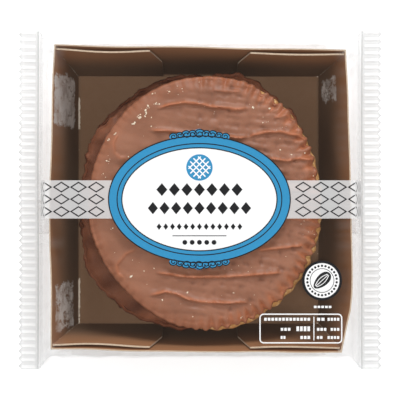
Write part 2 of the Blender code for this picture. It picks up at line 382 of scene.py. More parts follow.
for share in (0.0, 0.35, 0.7, 0.93):
    put_row(tray_ring(0.0, 0.0) * share if share else tray_ring(0.0, 0.0) * 0.02, 0.0)
put_row(tray_ring(0.0, fold_mm), 0.0)
for z_mm in levels:
    put_row(tray_ring(z_mm / top_mm, 0.0), z_mm, height=z_mm / top_mm)
outer_rows = len(tray_rows)
put_row(tray_ring(1.0, 0.45), top_mm, wear_and_glint=0.15, inside=True, height=1.0)
for z_mm in reversed(levels[1:-1]):
    put_row(tray_ring(z_mm / top_mm, board_mm), z_mm, inside=True, height=z_mm / top_mm)
put_row(tray_ring(0.03, board_mm), 1.2, wear_and_glint=0.25, inside=True)
put_row(tray_ring(0.02, board_mm + 0.1), board_mm + 0.18, wear_and_glint=0.45, inside=True)
put_row(tray_ring(0.0, board_mm + 0.3), board_mm, wear_and_glint=0.3, inside=True)
put_row(tray_ring(0.0, board_mm + 1.0), board_mm)
for share in (0.8, 0.6, 0.4, 0.2, 0.02):
    put_row(tray_ring(0.0, board_mm + 1.0) * share, board_mm)

ring_count = len(tray_rows[0])
faces = grid_faces(len(tray_rows), ring_count, True)
groups = [0] * len(faces)
for i in range(ring_count):
    groups[(outer_rows - 1) * ring_count + i] = 1
last = (len(tray_rows) - 1) * ring_count
faces += [tuple(range(ring_count))[::-1], tuple(range(last, last + ring_count))]
groups += [0, 0]
add_piece(
    "tray_board", np.concatenate(tray_rows), faces, [card_finish, core_finish], ["tray"], groups,
    {"wear_and_glint": np.concatenate(wear_and_glint_rows), "painted_reflection": np.concatenate(painted_reflection_rows), "lit": np.concatenate(lit_rows)},
)


def add_flap(name, x_sign, y_side):
    """Glue flap: board plate with a cut corner, bowed off the wall so a dark slit shows above it."""
    columns, rows = 40, 26
    y_sign = -1.0 if y_side == "front" else 1.0
    x_side = "left" if x_sign < 0 else "right"
    foot, cut = board_mm + FLAP_FOOT, top_mm - FLAP_CUT
    layers = []
    for layer in (0.0, board_mm):
        points = []
        for z_mm in np.linspace(foot, top_mm - FLAP_DROP, rows):
            share = z_mm / top_mm
            near = FLAP_LOW_END + (FLAP_RIM_END - FLAP_LOW_END) * ramp(z_mm, cut, top_mm - FLAP_DROP)
            far = wall_reach(x_side, np.array([y_sign]), share)[0] - 0.5
            u = np.linspace(0.0, 1.0, columns)
            x = x_sign * (near + (far - near) * u)
            along = np.clip(x / far, -1.0, 1.0)
            bow = 0.5 * np.sin(pi * np.clip(u, 0, 1)) ** 1.4 * share ** 2 + 0.3 * share
            y = wall_reach(y_side, along, share) - board_mm - 0.3 - bow - layer
            points.append(np.column_stack((x * MM, y_sign * y * MM, np.full(columns, TRAY_Z + z_mm * MM))))
        layers.append(np.concatenate(points))
    size = columns * rows
    faces = grid_faces(rows, columns, False) + grid_faces(rows, columns, False, size)
    groups = [0] * len(faces)
    rim = [r * columns for r in range(rows)]
    rim += [(rows - 1) * columns + i for i in range(1, columns)]
    rim += [r * columns + columns - 1 for r in range(rows - 2, -1, -1)]
    rim += [i for i in range(columns - 2, 0, -1)]
    for a, b in zip(rim, rim[1:] + rim[:1]):
        faces.append((a, b, b + size, a + size))
        groups.append(1)
    height = np.concatenate(layers)[:, 2] / TRAY_HEIGHT
    # painted light: lighter towards the rim, as on the walls
    lit = smooth(ramp(height, 0.3, 1.0))
    worn = np.where(np.tile(np.linspace(0.0, 1.0, columns), 2 * rows) > 0.99, 0.95 - 0.35 * height, 0.1)
    painted = {"wear_and_glint": worn, "painted_reflection": np.zeros(2 * size), "lit": lit}
    add_piece(
        name, np.concatenate(layers), faces, [card_finish, core_finish], ["tray"], groups, painted,
    )


add_flap("flap_back_left", -1.0, "back")
add_flap("flap_back_right", 1.0, "back")
add_flap("flap_front_left", -1.0, "front")
add_flap("flap_front_right", 1.0, "front")

# --- Waffle biscuits -------------------------------------------------------------------------
# Five thin waffle rounds filled with syrup, baked golden and cut with a toothed edge. Each one sits
# in its own chocolate, and its edge comes out where the chocolate did not run over it.

WAFER_THICK = 7.6
WAFER_STEP = 7.9
WAFER_FLOOR = 1.5
# centre x and y, half width, half length (mm), turn, direction and half angle of the bare edge
WAFERS = [
    (-0.9, 0.4, 42.2, 45.6, 0.05, -1.2, 0.5),
    (0.6, -0.8, 42.6, 45.4, -0.12, 0.4, 0.6),
    (-2.0, -0.3, 41.8, 45.9, 0.10, -0.9, 0.4),
    (-1.2, -0.6, 41.9, 45.2, -0.06, -0.6, 0.6),
    (2.2, -0.9, 42.3, 46.0, 0.03, -0.55, 0.95),
]
TOP_WAFER = len(WAFERS)
# where the covered rounds swell past their oval: direction, half width (degrees), rise (mm)
SWELLS = {
    4: ((150, 14, 2.4), (213, 13, 3.6), (238, 17, 3.9), (262, 12, 1.6), (67, 15, 3.7), (38, 15, 4.3)),
    3: ((140, 12, 1.6), (204, 14, 2.2), (229, 13, 3.2), (250, 14, 1.8)),
    2: ((225, 22, 1.8),),
}


def wafer_radius(number, angle):
    x, y, half_x, half_y, turn, bare_at, bare_half = WAFERS[number - 1]
    a = angle - turn
    oval = 1.0 / np.hypot(np.cos(a) / half_x, np.sin(a) / half_y)
    swell = 0.0
    for at, width, rise in SWELLS.get(number, ()):
        away = np.arctan2(np.sin(angle - radians(at)), np.cos(angle - radians(at)))
        swell = swell + rise * np.exp(-((away / radians(width)) ** 2))
    return oval + 0.5 * np.sin(3 * a + number) + 0.3 * np.sin(5 * a + 2.0 * number) + swell


def bare_share(number, angle):
    """1 where the biscuit's edge is bare, 0 where chocolate wraps it."""
    bare_at, bare_half = WAFERS[number - 1][5:]
    away = abs(np.arctan2(np.sin(angle - bare_at), np.cos(angle - bare_at)))
    share = smooth(ramp(away, bare_half + 0.3, bare_half - 0.1))
    if number == TOP_WAFER:
        away = abs(np.arctan2(np.sin(angle - 0.72), np.cos(angle - 0.72)))
        share = np.maximum(share, 0.55 * smooth(ramp(away, 0.6, 0.3)))
    return share


biscuit_finish, wire = new_material("baked_waffle")
crumb = wire.cloud(700.0, 5.0, 0.7)
toast = wire.cloud(120.0, 3.0)
shade = toast.tint(tone(0.40, 0.165, 0.05), tone(0.62, 0.34, 0.12))
shade = crumb.between(0.45, 0.75).tint(shade, tone(0.80, 0.55, 0.28))
wire.surface({
    "Base Color": shade,
    "Roughness": 0.8,
    "Specular IOR Level": 0.25,
    "Normal": wire.bump(crumb, 0.25 * MM, 0.9),
})


def add_biscuit(number):
    count = 420 if number == TOP_WAFER else 260
    angle = np.linspace(0.0, tau, count, endpoint=False)
    x, y = WAFERS[number - 1][:2]
    base = WAFER_FLOOR + (number - 1) * WAFER_STEP
    top = base + WAFER_THICK - 2.7
    bare = bare_share(number, angle)
    edge = wafer_radius(number, angle) - 1.3 + bare * 1.14
    teeth = abs((angle * 46 / tau) % 1.0 - 0.5) * 2.0
    chips = uneven(40 * np.cos(angle), 40 * np.sin(angle), 5.0, 40 + number)
    edge = edge + bare * (0.5 * teeth ** 0.7 - 0.3 + 0.45 * chips)
    rows = []
    for inset, z in (
        (44.0, base), (3.0, base), (0.9, base + 0.1), (0.25, base + 0.6), (0.0, base + 1.4),
        (0.25, base + 2.2),
        (0.3, base + 2.8), (0.1, base + 3.5), (0.0, top - 1.9), (0.05, top - 1.2), (0.3, top - 0.55),
        (0.8, top - 0.12), (1.5, top), (2.6, top + 0.08), (44.0, top + 0.08),
    ):
        r = edge - inset if inset < 40 else np.full(count, 1.0)
        wobble = 0.12 * uneven(r * np.cos(angle), r * np.sin(angle) + 3.0 * z, 3.0, 7 * number) * bare
        rows.append(np.column_stack((
            (x + r * np.cos(angle)) * MM, (y + r * np.sin(angle)) * MM, (z + wobble) * MM,
        )))
    faces = grid_faces(len(rows), count, True)
    last = (len(rows) - 1) * count
    faces += [tuple(range(count))[::-1], tuple(range(last, last + count))]
    add_piece(
        f"waffle_round_{number}", np.concatenate(rows), faces, [biscuit_finish],
        [f"biscuit_{number}"],
    )


for number in range(1, TOP_WAFER + 1):
    add_biscuit(number)

# --- Milk chocolate --------------------------------------------------------------------------
# Each round is dipped in milk chocolate and drawn over a wire belt. The coat sets with folded
# ripples across it, flutes at the rim, a few small bubbles, and thin skirts down the sides.

RIPPLE_HEIGHT = 1.15
# points along each ripple (mm), and its height as a share
RIPPLES = [
    ([(-16, 32.6), (-11, 33.9), (-5.4, 34.8), (0, 34.2), (6.3, 33.0), (12.5, 32.3), (18, 32.7)], 1.0),
    ([(-19, 25.0), (-9, 24.4), (0, 23.4), (9.4, 22.7), (14.3, 22.0), (18.2, 22.5)], 0.9),
    ([(17, 22.2), (19.5, 23.2), (23.3, 24.1), (28.6, 24.3), (34.0, 23.2), (38.5, 21.4)], 1.0),
    ([(24, 14.9), (31.3, 13.9), (35.8, 14.7), (41.4, 14.2)], 0.95),
    ([(20, -18.1), (26.8, -17.6), (32.2, -17.0), (37.5, -16.3)], 0.9),
    ([(-17, -25.8), (-8.9, -27.1), (-3.6, -27.7), (5.4, -27.7), (14.3, -27.3),
      (22.4, -26.7), (31, -26.0)], 1.0),
    ([(-19, -34.6), (-12.5, -32.9), (-8.9, -33.6), (-4.5, -35.4), (0, -36.5),
      (7.2, -36.9), (18, -36.8)], 1.0),
    ([(4, 39.4), (10, 38.6), (15, 38.9)], 0.35),
    ([(30, 3.6), (35, 3.0), (40.5, 3.8)], 0.5),
    ([(31, -6.5), (36, -7.4), (41, -7.0)], 0.45),
    ([(26, 29.3), (31, 30.2), (35, 29.4)], 0.3),
]
# edges of the smooth pools at the left, which turn with the rim
POOL_EDGES = [
    ([(-29.0, 24.5), (-31.0, 20.5), (-30.6, 17.0), (-28.6, 15.2), (-25.0, 14.9)], 0.55),
    ([(-21.5, -16.6), (-26.6, -19.4), (-29.8, -23.3), (-29.5, -26.2), (-26.5, -29.0)], 0.6),
    ([(-39.0, 8.0), (-39.6, 0.0), (-39.0, -10.0), (-36.0, -20.0)], 0.3),
]


def along_line(points, x, y):
    """Distance from a line to the left of its direction, and the share along it, for each place."""
    best = np.full(x.shape, 1e9)
    offset, share = np.zeros(x.shape), np.zeros(x.shape)
    lengths = [hypot(b[0] - a[0], b[1] - a[1]) for a, b in zip(points, points[1:])]
    run = 0.0
    for (ax, ay), (bx, by), length in zip(points, points[1:], lengths):
        tx, ty = (bx - ax) / length, (by - ay) / length
        t = np.clip((x - ax) * tx + (y - ay) * ty, 0.0, length)
        dx, dy = x - ax - t * tx, y - ay - t * ty
        far = np.hypot(dx, dy)
        closer = far < best
        best = np.where(closer, far, best)
        offset = np.where(closer, np.copysign(far, tx * dy - ty * dx), offset)
        share = np.where(closer, (run + t) / sum(lengths), share)
        run += length
    return offset, share


def fold_profile(offset, near, far):
    """Fold of chocolate: a long slope on its left side and a steep one on its right."""
    return np.where(offset > 0.0, np.exp(-((offset / far) ** 2)), np.exp(-((offset / near) ** 2)))


def flutes(number, angle):
    """Wave of the flutes round the rim, about -1 to 1, unevenly spaced."""
    return np.sin(angle * 74 + 2.4 * np.sin(angle * 5 + 1.0) + 1.3 * np.sin(angle * 11 + 0.4) + number)


def coat_relief(number, x, y, angle, share):
    """Height of the coat's top over its middle level, and how thin it is drawn there, 0 to 1, with painted
    light added on the lit upper sides of the ripples and along the pool edges.
    """
    flute_wave = 0.5 + 0.5 * flutes(number, angle)
    flute_depth = 0.12 + 0.88 * smooth(ramp(np.cos(angle - 0.1), -0.4, 0.2))
    rim = smooth(ramp(share, 0.86, 0.985))
    swell = 0.5 + 0.5 * uneven(44 * np.cos(angle), 44 * np.sin(angle), 9.0, 90 + number)
    height = 0.8 * (flute_wave ** 0.7 - 0.7) * (0.25 + 1.1 * swell) - 0.3 * (1.0 - swell)
    height = height * flute_depth * rim
    height = height + 0.34 * uneven(x, y, 15.0, 3 + number) + 0.12 * uneven(x, y, 6.5, 13 + number)
    thin_and_lit = 0.95 * rim * (0.35 + (1.0 - flute_wave) * flute_depth)
    if number != TOP_WAFER:
        height = height + 0.9 * uneven(x, y, 7.0, 200 + number) + 0.4 * uneven(x, y, 3.2, 210 + number)
        return height, thin_and_lit * 0.6 + 0.5 * np.clip(uneven(x, y, 6.0, 220 + number) - 0.5, 0.0, 0.6)
    rough = smooth(ramp(x, -24.0, 18.0))
    dents = 0.34 * uneven(x, 1.5 * y, 5.5, 31) + 0.15 * uneven(x, y, 2.8, 32)
    height = height + np.where(dents > 0.0, 0.45, 1.0) * dents * (0.12 + 0.88 * rough)
    for points, strength in RIPPLES:
        offset, along = along_line(points, x, y)
        ends = smooth(ramp(along, 0.0, 0.12)) * smooth(ramp(along, 1.0, 0.88))
        waver = 1.0 + 0.3 * uneven(x, y, 7.0, 60)
        fold = fold_profile(offset + 0.15 * uneven(x, y, 6.0, 61), 0.38, 1.15) * ends * strength * waver
        trough = np.exp(-(((offset + 1.25) / 0.7) ** 2)) * ends * strength
        height = height + RIPPLE_HEIGHT * fold - 0.16 * trough
        # painted highlight: orange on the lit upper side of each ripple
        thin_and_lit = thin_and_lit + 1.1 * np.exp(-(((offset - 0.25) / 0.55) ** 2)) * ends * strength
    for points, strength in POOL_EDGES:
        offset, along = along_line(points, x, y)
        ends = smooth(ramp(along, 0.0, 0.2)) * smooth(ramp(along, 1.0, 0.8))
        height = height + 1.0 * strength * fold_profile(-offset, 0.5, 2.2) * ends
        # painted highlight along the edges of the pools
        thin_and_lit = thin_and_lit + 0.8 * strength * np.exp(-((offset / 0.7) ** 2)) * ends
    rng = Random(88)
    for _ in range(46):
        bx, by = rng.uniform(-14, 40), rng.uniform(-38, 38)
        size, kind = rng.uniform(0.5, 1.3), rng.random()
        far = np.hypot(x - bx, y - by)
        if kind < 0.6:
            height = height + 0.16 * np.exp(-((far / size) ** 2))
        else:
            height = height - 0.2 * np.exp(-((far / (0.6 * size)) ** 2))
            height = height + 0.08 * np.exp(-(((far - size) / 0.3) ** 2))
    far = np.hypot(x - 25.8, y + 30.4)
    height = height + 0.14 * np.exp(-(((far - 1.5) / 0.4) ** 2)) - 0.12 * np.exp(-((far / 0.8) ** 2))
    return height, thin_and_lit


def chocolate_material(name, gloss):
    """Milk chocolate, orange where it is drawn thin and, as painted light, on the lit sides of the ripples;
    darker in painted shade in its hollows and on the covered rounds, skirts and back rim.
    """
    material, wire = new_material(name)
    cloud = wire.cloud(75.0, 4.0)
    streak = wire.cloud(240.0, 4.0, 0.6, (0.45, 1.0, 1.0))
    fine = wire.cloud(1100.0, 3.0)
    # thin chocolate together with painted highlights on the lit sides of ripples and pool edges
    thin_and_lit = wire.painted("thin_and_lit")
    # painted shade: darkens the covered rounds, the rounded rims, the skirts and the back rim of the top
    # round
    painted_shade = wire.painted("painted_shade")
    # painted shade in the dents of the coat and between the flutes
    hollow_shade = wire.painted("hollow_shade")
    shade = cloud.between(0.3, 0.7).tint(tone(0.268, 0.108, 0.058), tone(0.330, 0.138, 0.077))
    shade = (streak.between(0.52, 0.72) * 0.4).tint(shade, tone(0.38, 0.165, 0.095))
    shade = (thin_and_lit * 0.85).tint(shade, tone(0.47, 0.155, 0.065))
    shade = hollow_shade.tint(shade, tone(0.15, 0.052, 0.026))
    shade = (painted_shade * (0.75 + 0.5 * streak)).tint(shade, tone(0.090, 0.027, 0.011))
    wire.surface({
        "Base Color": shade,
        "Roughness": 0.38 + 0.16 * cloud + 0.1 * fine,
        "Specular IOR Level": gloss,
        "Subsurface Weight": 0.12,
        "Subsurface Radius": (1.0, 0.45, 0.25),
        "Subsurface Scale": 1.5 * MM,
        "Normal": wire.bump(streak * 0.7 + fine * 0.3, 0.16 * MM, 0.45),
    })
    return material


chocolate_finish = chocolate_material("milk_chocolate", 0.55)
# shaded copy of the chocolate for the covered rounds, with weaker sheen standing in for their shade
shaded_chocolate_finish = chocolate_material("shaded_milk_chocolate", 0.2)


def add_chocolate(number):
    """Cap of chocolate from the middle of the top, over the rim, down to the foot of the skirt."""
    is_top = number == TOP_WAFER
    count = 640 if is_top else 320
    angle = np.linspace(0.0, tau, count, endpoint=False)
    cx, cy = WAFERS[number - 1][:2]
    base = WAFER_FLOOR + (number - 1) * WAFER_STEP
    top = base + WAFER_THICK
    bare = bare_share(number, angle)
    flute_wave = flutes(number, angle)
    nibble = uneven(40 * np.cos(angle), 40 * np.sin(angle), 4.5, 20 + number)
    lobe = 0.42 * flute_wave + 0.3 * nibble
    if is_top:
        lobe = lobe * (0.25 + 0.75 * smooth(ramp(np.cos(angle + 0.2), -0.3, 0.3)))
    else:
        lobe = 0.8 * nibble + 0.5 * uneven(40 * np.cos(angle), 40 * np.sin(angle), 2.6, 80 + number)
    edge = wafer_radius(number, angle) + lobe * (0.6 + 0.9 * bare) - 0.35 - bare * (0.4 + 0.9 * abs(nibble))
    drip = uneven(40 * np.cos(angle), 40 * np.sin(angle), 9.0, 50 + number)
    foot = base + 0.5 + 0.5 * abs(drip) + bare * (WAFER_THICK - 3.6)
    shares = np.concatenate((np.linspace(0.01, 0.8, 84), np.linspace(0.808, 0.972, 36))) if is_top else \
        np.array([0.6, 0.8, 0.88, 0.93, 0.96, 0.975])
    # painted shade: the covered rounds are darkened, the one just below the top less
    dim = 0.0 if is_top else (0.68 if number == TOP_WAFER - 1 else 0.86)
    rows, thin_and_lit_rows, painted_shade_rows = [], [], []
    for share in shares:
        r = edge * share
        x, y = cx + r * np.cos(angle), cy + r * np.sin(angle)
        relief, thin_and_lit = coat_relief(number, x, y, angle, np.full(count, share))
        settle = 1.5 * ramp(share, 0.90, 1.0) ** 2
        rows.append(np.column_stack((x * MM, y * MM, (top - 0.3 - settle + relief) * MM)))
        thin_and_lit_rows.append(thin_and_lit)
        shadowed = dim * (1.0 + 0.35 * uneven(x, y, 9.0, 230 + number))
        # painted shade along the back rim of the top round
        far_rim = 0.26 * smooth(ramp(y, 32.0, 43.0)) if is_top else 0.0
        painted_shade_rows.append(np.clip(shadowed + far_rim, 0.0, 0.95))
    x, y = cx + edge * np.cos(angle), cy + edge * np.sin(angle)
    relief, thin_and_lit = coat_relief(number, x, y, angle, np.ones(count))
    for turn in (18, 36, 54, 72, 88):
        r = edge * 0.972 + (edge * 0.028) * sin(radians(turn)) / sin(radians(88))
        z = top - 1.12 + relief * cos(radians(turn)) - 1.1 * (1.0 - cos(radians(turn)))
        rows.append(np.column_stack(((cx + r * np.cos(angle)) * MM, (cy + r * np.sin(angle)) * MM, z * MM)))
        thin_and_lit_rows.append(thin_and_lit)
        painted_shade_rows.append(np.full(count, max(dim, 0.3 * turn / 88)))
    brink = rows[-1][:, 2] / MM
    for k, share in enumerate((0.12, 0.3, 0.5, 0.7, 0.88, 1.0)):
        z = brink + (foot - brink) * share
        sag = 0.25 * np.sin(pi * share) * (1.0 - bare) + 0.3 * nibble * share * (1 - bare)
        sag = sag + 0.22 * uneven(40 * np.cos(angle), 40 * np.sin(angle) + 3.0 * z, 6.0, 70 + number)
        r = edge - 0.15 * share + sag * (1 - bare) - 0.35 * smooth(share) ** 3
        rows.append(np.column_stack(((cx + r * np.cos(angle)) * MM, (cy + r * np.sin(angle)) * MM, z * MM)))
        thin_and_lit_rows.append(np.full(count, 0.1))
        # painted shade down the skirts, darker towards the foot
        painted_shade_rows.append(np.full(count, max(dim, 0.35 + 0.45 * share)))
    for inset, lift in ((0.5, 0.05), (1.1, 0.5)):
        r = edge - 0.5 - inset
        z = foot + lift
        rows.append(np.column_stack(((cx + r * np.cos(angle)) * MM, (cy + r * np.sin(angle)) * MM, z * MM)))
        thin_and_lit_rows.append(np.zeros(count))
        painted_shade_rows.append(np.full(count, 0.6))
    faces = [f[::-1] for f in grid_faces(len(rows), count, True)]
    faces.append(tuple(range(count)))
    # painted shade in the dents of the coat and between the flutes
    hollow_shade_rows = []
    for row in rows:
        x, y = row[:, 0] / MM, row[:, 1] / MM
        far = np.hypot(x - cx, y - cy) / wafer_radius(number, angle)
        dent = -0.6 * uneven(x, 1.5 * y, 5.5, 31) - 0.4 * uneven(x, y, 2.8, 32) - 0.35
        groove = smooth(ramp(far, 0.9, 0.98)) * (0.5 - 0.5 * flute_wave) ** 3
        side = smooth(ramp(x, -24.0, 18.0))
        hollow_shade_rows.append(np.clip(0.75 * dent * (0.1 + 0.9 * side), 0.0, 0.5) + 0.35 * groove)
    painted = {
        "thin_and_lit": np.clip(np.concatenate(thin_and_lit_rows), 0, 1), "painted_shade": np.concatenate(painted_shade_rows),
        "hollow_shade": np.concatenate(hollow_shade_rows),
    }
    add_piece(
        f"milk_chocolate_{number}", np.concatenate(rows), faces,
        [chocolate_finish if is_top else shaded_chocolate_finish], [f"chocolate_{number}"], None,
        painted,
    )


for number in range(1, TOP_WAFER + 1):
    add_chocolate(number)

# --- Crumbs ----------------------------------------------------------------------------------
# Pale crumbs of biscuit and sugar that stuck to the chocolate while it was soft, mostly along the
# rim at the back and the left. They are small broken grains, pressed a little way in.

# clusters on the top round: centre x, y (mm), spread, grains, largest grain
CRUMB_CLUSTERS = [
    (-16.6, 38.5, 0.7, 2, 0.5), (-16.0, 34.5, 0.9, 4, 0.6), (-14.8, 34.4, 0.5, 2, 0.6),
    (-19.0, 33.1, 0.8, 4, 0.7), (-19.2, 31.0, 0.9, 6, 0.8), (-21.6, 29.8, 1.0, 10, 0.62),
    (-23.9, 27.3, 0.9, 6, 0.6), (-30.4, 23.6, 0.6, 3, 0.5), (-32.6, 21.3, 0.7, 3, 0.6),
    (-32.7, 14.0, 0.8, 4, 0.5), (-34.5, 9.0, 0.8, 3, 0.4), (-25.4, 15.4, 0.5, 1, 0.4),
    (-17.3, 29.5, 0.4, 1, 0.4), (-17.0, 26.0, 0.4, 1, 0.4), (-11.6, 39.0, 0.8, 3, 0.5),
    (-6.0, 39.4, 0.7, 2, 0.4), (-6.6, 43.4, 0.7, 2, 0.4), (-4.6, 43.4, 0.5, 2, 0.4),
    (19.0, 33.1, 0.4, 3, 0.7), (24.9, 33.0, 0.4, 2, 0.6), (22.7, 27.4, 0.4, 1, 0.5),
    (28.5, 18.2, 0.4, 1, 0.6), (32.4, 16.3, 0.3, 1, 0.5), (37.7, 16.8, 0.3, 1, 0.4),
    (-31.5, -10.5, 0.5, 2, 0.4), (-24.7, -27.2, 0.3, 1, 0.85), (-20.2, -25.8, 0.5, 1, 0.4),
    (-16.1, -24.3, 0.5, 2, 0.4), (-4.3, -32.9, 0.4, 1, 0.6), (-13.6, -35.8, 0.4, 1, 0.5),
    (-2.3, -41.9, 0.4, 1, 0.4), (-32.0, -28.4, 0.8, 3, 0.4), (12.0, -33.4, 0.5, 2, 0.4),
    (15.0, -42.5, 0.6, 2, 0.4), (36.0, -8.6, 0.4, 1, 0.4), (40.6, 8.4, 0.4, 1, 0.4),
]
LOOSE_CRUMBS = 70

crumb_finish, wire = new_material("pale_crumb")
fine = wire.cloud(2500.0, 3.0)
wire.surface({
    "Base Color": fine.tint(tone(0.78, 0.6, 0.38), tone(0.95, 0.88, 0.76)),
    "Roughness": 0.45,
    "Normal": wire.bump(fine, 0.1 * MM, 0.8),
})


def top_height(x, y):
    """Height of the top round's chocolate at one place, in mm."""
    cx, cy = WAFERS[TOP_WAFER - 1][:2]
    angle = atan2(y - cy, x - cx)
    share = hypot(x - cx, y - cy) / wafer_radius(TOP_WAFER, np.array([angle]))[0]
    place = [np.array([value]) for value in (x, y, angle, min(share, 0.97))]
    relief = coat_relief(TOP_WAFER, *place)
    return WAFER_FLOOR + (TOP_WAFER - 1) * WAFER_STEP + WAFER_THICK - 0.3 + relief[0][0], share


def grain_of_crumb(rng, x, y, z, size):
    """Corners and faces of one broken grain: an uneven octahedron with its edges split once."""
    tips = [(1, 0, 0), (0, 1, 0), (-1, 0, 0), (0, -1, 0), (0, 0, 1), (0, 0, -1)]
    sides = [(0, 1, 4), (1, 2, 4), (2, 3, 4), (3, 0, 4), (1, 0, 5), (2, 1, 5), (3, 2, 5), (0, 3, 5)]
    points = [Vector(t) for t in tips]
    faces, middles = [], {}
    for side in sides:
        mids = []
        for a, b in zip(side, side[1:] + side[:1]):
            key = (min(a, b), max(a, b))
            if key not in middles:
                points.append(((points[a] + points[b]) / 2).normalized())
                middles[key] = len(points) - 1
            mids.append(middles[key])
        faces += [(side[0], mids[0], mids[2]), (side[1], mids[1], mids[0])]
        faces += [(side[2], mids[2], mids[1]), tuple(mids)]
    turn, flat = rng.uniform(0, tau), rng.uniform(0.4, 0.8)
    long = rng.uniform(1.0, 1.7)
    placed = []
    for p in points:
        q = p * size * 0.5 * rng.uniform(0.7, 1.15)
        qx, qy = q.x * long, q.y
        placed.append((
            (x + qx * cos(turn) - qy * sin(turn)) * MM, (y + qx * sin(turn) + qy * cos(turn)) * MM,
            (z + q.z * flat) * MM,
        ))
    return placed, faces


rng = Random(5)
points, faces = [], []
places = []
for cx, cy, spread, grains, largest in CRUMB_CLUSTERS:
    for k in range(grains):
        size = largest * (1.0 if k == 0 else rng.uniform(0.3, 0.8))
        places.append((cx + rng.gauss(0, spread * 0.5), cy + rng.gauss(0, spread * 0.5), size))
for _ in range(LOOSE_CRUMBS):
    turn = rng.uniform(0, tau)
    reach = rng.uniform(0.3, 0.98) ** 0.5
    places.append((2.2 + 41 * reach * cos(turn), -0.9 + 44 * reach * sin(turn), rng.uniform(0.12, 0.26)))
for x, y, size in places:
    z, share = top_height(x, y)
    if share > 0.97:
        continue
    more_points, more_faces = grain_of_crumb(rng, x, y, z + 0.12 * size, size)
    start = len(points)
    points += more_points
    faces += [tuple(start + i for i in face) for face in more_faces]
add_piece("crumbs", points, faces, [crumb_finish], ["chocolate_5"])

# --- Clear film sleeve -----------------------------------------------------------------------
# A tube of clear film drawn round the tray and pressed shut past each end. It lies tight over the
# rim, hangs loose down the sides, and is drawn together in creases where it runs into the fins.

BASE_END_X, TOP_END_X, PRESS_X, FIN_END_X = 47.4, 55.3, 59.6, 66.6
FIN_Z, FIN_HALF_THICK, FIN_HALF_Y = 26.0, 0.45, 62.0
SLEEVE_TOP, SLEEVE_BASE = 43.35, 0.25
BASE_HALF_Y, TOP_HALF_Y = 49.5, 55.5
BULGE_Y, BULGE_Z = 57.0, 34.0
GUSSET = 5.0
FIN_WAVE, FIN_WAVE_LENGTH = 0.8, 78.0


def fin_ripple(x, y):
    """Gentle rise and fall of the pressed fin along its width."""
    phase = np.where(np.asarray(x) < 0.0, 0.6, 2.2)
    return smooth(ramp(abs(x), TOP_END_X, PRESS_X)) * FIN_WAVE * np.sin(tau * y / FIN_WAVE_LENGTH + phase)


def film_top(x, y):
    """Height of the film's upper side, in mm; it sags a little between the rims."""
    drop = smooth(ramp(abs(x), TOP_END_X, PRESS_X))
    level = SLEEVE_TOP + (FIN_Z + FIN_HALF_THICK - SLEEVE_TOP) * drop
    inside = smooth(ramp(abs(x), 54.0, 46.0)) * smooth(ramp(abs(y), 54.5, 46.0))
    sag = 0.22 + 0.17 * uneven(x, y, 34.0, 501) + 0.05 * uneven(x, y, 11.0, 502)
    return level + fin_ripple(x, y) - np.clip(sag, 0.0, 0.8) * inside


def curve_through(points, count):
    """Smooth curve through a few points of a profile, evenly sampled."""
    p = np.array(points, float)
    gaps = np.concatenate(([0.0], np.cumsum(np.hypot(*np.diff(p, axis=0).T))))
    slope = np.gradient(p, gaps, axis=0)
    at = np.linspace(0.0, gaps[-1], count)
    k = np.clip(np.searchsorted(gaps, at, "right") - 1, 0, len(p) - 2)
    h = (gaps[k + 1] - gaps[k])[:, None]
    t = ((at - gaps[k])[:, None]) / h
    a, b, ma, mb = p[k], p[k + 1], slope[k] * h, slope[k + 1] * h
    start, end = (2 * t**3 - 3 * t**2 + 1) * a, (3 * t**2 - 2 * t**3) * b
    return start + (t**3 - 2 * t**2 + t) * ma + end + (t**3 - t**2) * mb


def sleeve_ring(x):
    """Outline of the sleeve at x: from the middle of the base up one side, over the top and back."""
    rise, drop = ramp(abs(x), BASE_END_X, PRESS_X), smooth(ramp(abs(x), TOP_END_X, PRESS_X))
    spread = smooth(ramp(abs(x), TOP_END_X - 2.5, PRESS_X))
    low_z = SLEEVE_BASE + (FIN_Z - FIN_HALF_THICK - SLEEVE_BASE) * rise
    high_z = SLEEVE_TOP + (FIN_Z + FIN_HALF_THICK - SLEEVE_TOP) * drop
    low_y = BASE_HALF_Y + (FIN_HALF_Y - BASE_HALF_Y) * rise
    high_y = TOP_HALF_Y + (FIN_HALF_Y - TOP_HALF_Y) * spread
    side_y = BULGE_Y + (FIN_HALF_Y - BULGE_Y) * rise - GUSSET * sin(pi * rise) * rise
    side_z = BULGE_Z + (FIN_Z - BULGE_Z) * smooth(rise)
    low_z, side_z, high_z = sorted((low_z, side_z, high_z))
    middle = ((low_y + 0.62 * (side_y - low_y)), 0.5 * (low_z + side_z))
    side = curve_through([(low_y, low_z), middle, (side_y, side_z), (high_y, high_z)], 30)
    base = [(low_y * k / 24.0, low_z) for k in range(24)]
    top = [(high_y * k / 40.0, high_z) for k in range(39, -1, -1)]
    half = np.array(base + [tuple(p) for p in side] + top)
    back = half[-2:0:-1] * np.array([-1.0, 1.0])
    return np.concatenate((half, back))


clear_film, wire = new_material("clear_film")
edge_on = wire.node("ShaderNodeLayerWeight", {}, {"Blend": 0.5}, out="Facing")
# film folds and seam edges, together with painted shade where the film stands steep; these are greyer and
# less clear
crease_and_painted_light = wire.painted("crease_and_painted_light")
ripple = wire.cloud(110.0, 3.0, 0.5)
see = edge_on.maths("POWER", edge_on, 4.0) * 0.45 + 0.02 + 0.42 * crease_and_painted_light
wire.surface({
    "Base Color": crease_and_painted_light.tint(tone(0.93, 0.94, 0.95), tone(0.74, 0.75, 0.75)),
    "Metallic": 0.85 - 0.6 * crease_and_painted_light,
    "Roughness": 0.07 + 0.1 * ripple,
    "Alpha": see,
    "Normal": wire.bump(ripple, 0.3 * MM, 0.25),
})

